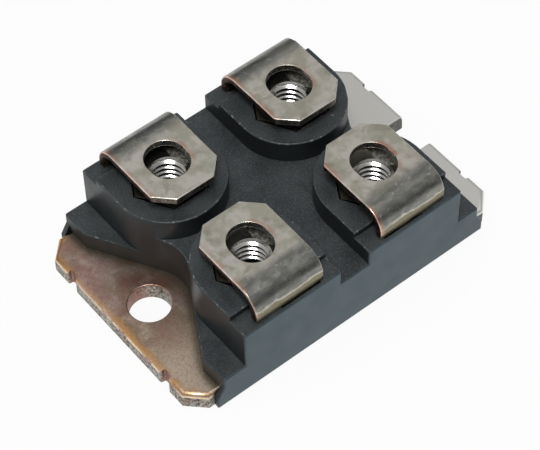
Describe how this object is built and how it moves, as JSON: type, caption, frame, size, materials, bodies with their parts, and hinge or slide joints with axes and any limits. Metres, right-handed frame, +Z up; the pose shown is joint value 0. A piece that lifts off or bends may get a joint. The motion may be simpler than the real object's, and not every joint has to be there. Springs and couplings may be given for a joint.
{
  "type": "dual diode module",
  "caption": "Black moulded power semiconductor module on a plated copper base plate with a mounting hole and an open slot, and folded strap screw terminals over captive hex nuts.",
  "frame": {"origin": "middle of the base plate's underside, which is the face that is screwed to a heat sink", "axes": "+X along the length, from the round mounting hole to the open slot; +Y across, from the cathode terminals to the anode terminals; +Z up, from the base plate to the terminals"},
  "size_m": [0.0382, 0.0252, 0.012],
  "materials": {
    "plate_metal": "nickel plating on copper, tarnished brown at one end",
    "case_plastic": "satin moulded black",
    "strap_metal": "satin nickel plating on copper, with bare copper on the cut edges",
    "nut_metal": "plated steel",
    "solder": "dull solder",
    "copper": "bare copper",
    "ceramic": "white alumina",
    "chip": "metallised silicon",
    "wire": "drawn wire",
    "gel": "clear soft silicone"
  },
  "bodies": {
    "root": {"base_plate": "plate_metal", "case": "case_plastic", "terminal_nuts": "nut_metal", "cathode_terminal_1": "strap_metal", "anode_terminal_1": "strap_metal", "cathode_terminal_2": "strap_metal", "anode_terminal_2": "strap_metal", "base_solder": "solder", "back_copper": "copper", "ceramic": "ceramic", "cathode_pad_1": "copper", "anode_pad_1": "copper", "cathode_pad_2": "copper", "anode_pad_2": "copper", "foot_solder": "solder", "chip_solder_1": "solder", "chip_solder_2": "solder", "diode_chip_1": "chip", "diode_chip_2": "chip", "bond_wires_1": "wire", "bond_wires_2": "wire", "silicone_gel": "gel"}
  },
  "joints": []
}
